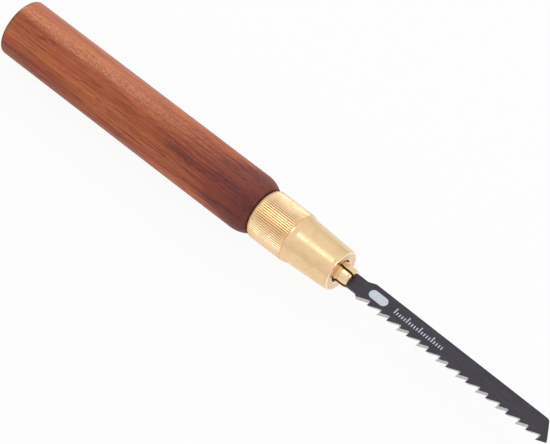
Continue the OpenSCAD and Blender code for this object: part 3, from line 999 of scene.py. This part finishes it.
def makeCoat(pivot):
    s = coatSettings
    material, tree, place = newMaterial("blackenedSteel")
    along, out, up = placeOnBlade(tree, place, pivot)
    brushed, cloudy, dust = [stretchedNoise(tree, place, *coatNoise[name])
                             for name in ("brushed", "cloudy", "dust")]
    wear = calc(tree, "MULTIPLY", *[ease(tree, noise, *edges)
                                    for noise, edges in zip((brushed, cloudy), s["wornFrom"])])
    wear = calc(tree, "ADD", wear, ease(tree, dust, *s["dust"]))
    colour = layColour(tree, s["coat"], s["worn"], wear)
    marks = calc(tree, "MAXIMUM", barMask(tree, along, out), tickMask(tree, along, out))
    onTop = calc(tree, "GREATER_THAN", up, bladeSettings["thickness"] / 2 - weldGap)
    kept = calc(tree, "MULTIPLY", onTop, ease(tree, dust, *s["printWear"]))
    printed = calc(tree, "MULTIPLY", marks, kept)
    least, added = s["roughness"]
    colour = layColour(tree, colour, s["print"], printed)
    addShader(tree, {"Base Color": colour,
                     "Roughness": calc(tree, "MULTIPLY_ADD", brushed, added, least),
                     "Metallic": ease(tree, printed, 0.0, 1.0, *s["metallic"]),
                     "Normal": addBump(tree, brushed, *s["bump"])})
    return material


def makeGroundSteel():
    s = steelSettings
    material, tree, place = newMaterial("groundSteel")
    lines = stretchedNoise(tree, place, *s["lines"])
    out = addNode(tree, "SeparateXYZ", {0: place}).outputs[1]
    root = bladeSettings["gullet"][0] - bladeSettings["teeth"]
    far, near = s["gulletShadeFrom"]
    # painted shade deep in the gullets
    deep = ease(tree, out, root - far, root - near)
    colour = layColour(tree, s["light"], s["dark"], ease(tree, lines, *s["darkLines"]))
    colour = layColour(tree, colour, s["dark"], deep, s["gulletShadeShare"])
    addShader(tree, {"Metallic": 1.0, "Base Color": colour,
                     "Roughness": ease(tree, lines, *s["roughness"]),
                     "Normal": addBump(tree, lines, *s["bump"])})
    return material


def toothShape(s):  # slope behind a tip, a gullet's middle from its tip and its shift across the blade
    depth, radius = s["gullet"]
    rake = math.radians(s["rake"])
    faceLength = (depth - radius * (1 + math.sin(rake))) / math.cos(rake)
    toGullet = faceLength * math.sin(rake) - radius * math.cos(rake)
    across = s["thickness"] * math.tan(math.radians(s["grind"]))
    run = Vector((s["pitch"] + across + toGullet, depth - radius))
    relief = math.atan2(run.y, run.x) + math.asin(radius / run.length)
    return relief, toGullet, across


def bladeOutline(s, side):  # on the lower side, -1, or the upper one, 1
    depth, radius = s["gullet"]
    root = depth - s["teeth"]
    relief, toGullet, across = toothShape(s)
    slope, lean = math.tan(relief), math.tan(relief) * math.tan(math.radians(s["rake"]))
    drawnIn = across * (1 + lean) / (1 - lean)
    neck = s["shank"] / 2
    heel, heelSlope = s["heel"]
    lugs, lugAt, lugLength = s["lugs"]
    lug, lugEnd = lugs / 2, lugAt + lugLength
    tailWidth, tailBevel = s["tail"]
    tail = tailWidth / 2
    backFrom, backSlope = s["backFrom"]
    heelDrop = (s["teeth"] - neck) / heelSlope
    behind = s["firstTip"] - s["pitch"] - (across if side > 0 else 0)
    heelAt = (behind * slope + heel * heelDrop) / (slope + heelDrop)
    corners = [(0, -tail, tailBevel), (lugAt, -tail, 0), (lugAt, -lug, 0.4), (lugEnd, -lug, 0.2),
               (lugEnd, -neck, 0.3), (heel - heelSlope, -neck, 0.4),
               (heelAt, -s["teeth"] - (heelAt - heel) * heelDrop, 0)]
    count = int((s["length"] - s["firstTip"] - s["endLand"]) / s["pitch"]) + 1
    for i in range(count):
        outer = side == (1 if i % 2 == 0 else -1)      # the tip lies on this side of the blade
        tip = s["firstTip"] + i * s["pitch"]
        middle = tip + toGullet + (0 if outer else across)
        corners += arcPoints((middle, root - radius), radius, 90 + math.degrees(relief), 90, 2)[:-1]
        corners += arcPoints((middle, root - radius), radius, 90, -s["rake"], 6)
        inward = 0 if outer else drawnIn
        corners.append((tip + inward, -s["teeth"] + (0 if outer else (drawnIn + across) * slope), 0))
    endDrop = s["length"] - tip + (0 if outer else across)
    corners += [(s["length"], -s["teeth"] + endDrop * slope, 0), (s["length"], root, 0),
                (s["length"] - s["endSlant"], s["back"], s["endRound"]), (backFrom, s["back"], 0.5),
                (backFrom - backSlope, neck, 0.6), (lugEnd, neck, 0.3), (lugEnd, lug, 0.2),
                (lugAt, lug, 0.4), (lugAt, tail, 0), (0, tail, tailBevel)]
    return roundCorners(corners)


def makeBlade():
    s = bladeSettings
    tail, root = edgeOf("collet_ring", 1, 0) + s["tailGap"], s["gullet"][0] - s["teeth"]
    lower, upper = [[Vector((tail + along, out, side * s["thickness"] / 2))
                     for along, out in bladeOutline(s, side)] for side in (-1, 1)]
    piece = drawLine("sawBlade", lower, closed=True)
    bpy.ops.mesh.edge_face_add()
    bpy.ops.mesh.extrude_region_move(TRANSFORM_OT_translate={"value": (0, 0, s["thickness"] * mm)})
    moves = {}                    # the upper side's gullets and tips stand apart from the lower side's
    for low, high in zip(lower, upper):
        way = (round(high.x - low.x, 3), round(high.y - low.y, 3))
        moves.setdefault(way, []).append(low.xy)
    for way, places in moves.items():
        if Vector(way).length > weldGap:
            pickVertices(piece, lambda point: point.z > 0 and
                         min((point.xy - place).length for place in places) < weldGap)
            bpy.ops.transform.translate(value=(way[0] * mm, way[1] * mm, 0))
    bpy.ops.mesh.select_all(action="SELECT")
    pivot = Vector((tail + s["lugs"][1] + s["lugs"][2] / 2, 0, 0))
    bpy.ops.transform.rotate(value=math.radians(s["lean"]), orient_axis="Z", center_override=pivot * mm)
    closeMesh(smoothAngle=30)
    finishPiece(piece, "blade", "blade", "blade_steel", makeCoat(pivot), makeGroundSteel())
    up, forward = s["bright"]
    for face in piece.data.polygons:
        middle = face.center / mm
        among = tail + s["heel"][0] < middle.x < tail + s["length"] - s["coatedEnd"]
        if among and middle.y < root and abs(face.normal.z) < up and face.normal.x < forward:
            face.material_index = 1
    bevelEdges(piece, s["edge"], angle=30, segments=2)


makeBlade()
print("blade made")
